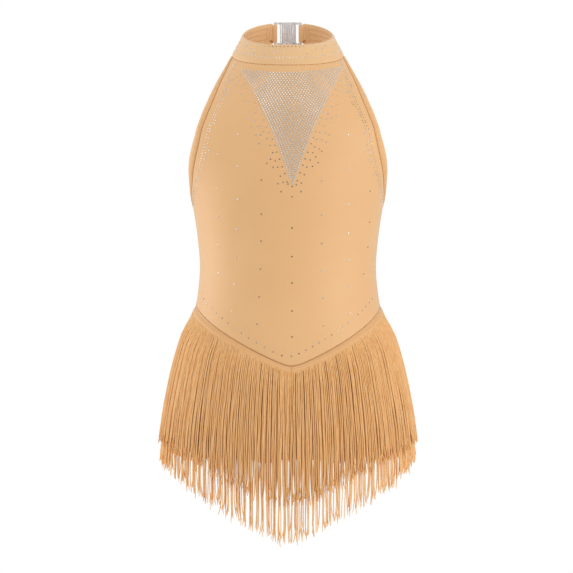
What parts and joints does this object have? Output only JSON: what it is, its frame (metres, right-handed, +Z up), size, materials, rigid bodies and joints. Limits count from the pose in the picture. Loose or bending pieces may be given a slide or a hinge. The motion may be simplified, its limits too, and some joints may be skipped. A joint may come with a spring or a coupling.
{
  "type": "latin dance dress",
  "caption": "Hollow child's halter dance dress: mock-neck collar with a nape clasp, bound armholes, low back, V waist seam, base skirt and tiered chainette fringe.",
  "frame": {"origin": "middle of the neck at the height of the collar's front top edge, where the wearer's neck holds the dress up", "axes": "+Z up, -Y out of the front of the dress, +X to the right of someone who looks at its front"},
  "size_m": [0.2888, 0.2424, 0.5776],
  "materials": {
    "stretch_knit": "matt-satin stretch knit, nude",
    "knit_binding": "folded strip of the same knit",
    "chainette": "soft lustrous chainette fringe",
    "clear_plastic": "clear moulded plastic",
    "rhinestone": "foil-backed faceted glass, hot fixed"
  },
  "bodies": {
    "root": {"bodice_front": "stretch_knit", "bodice_back": "stretch_knit", "armhole_binding_left": "knit_binding", "armhole_binding_right": "knit_binding", "back_binding": "knit_binding", "collar": "stretch_knit", "clasp_hook": "clear_plastic", "clasp_socket": "clear_plastic", "skirt_front": "stretch_knit", "skirt_back": "stretch_knit", "fringe_upper_front": "chainette", "fringe_upper_back": "chainette", "fringe_lower_front": "chainette", "fringe_lower_back": "chainette"}
  },
  "joints": []
}
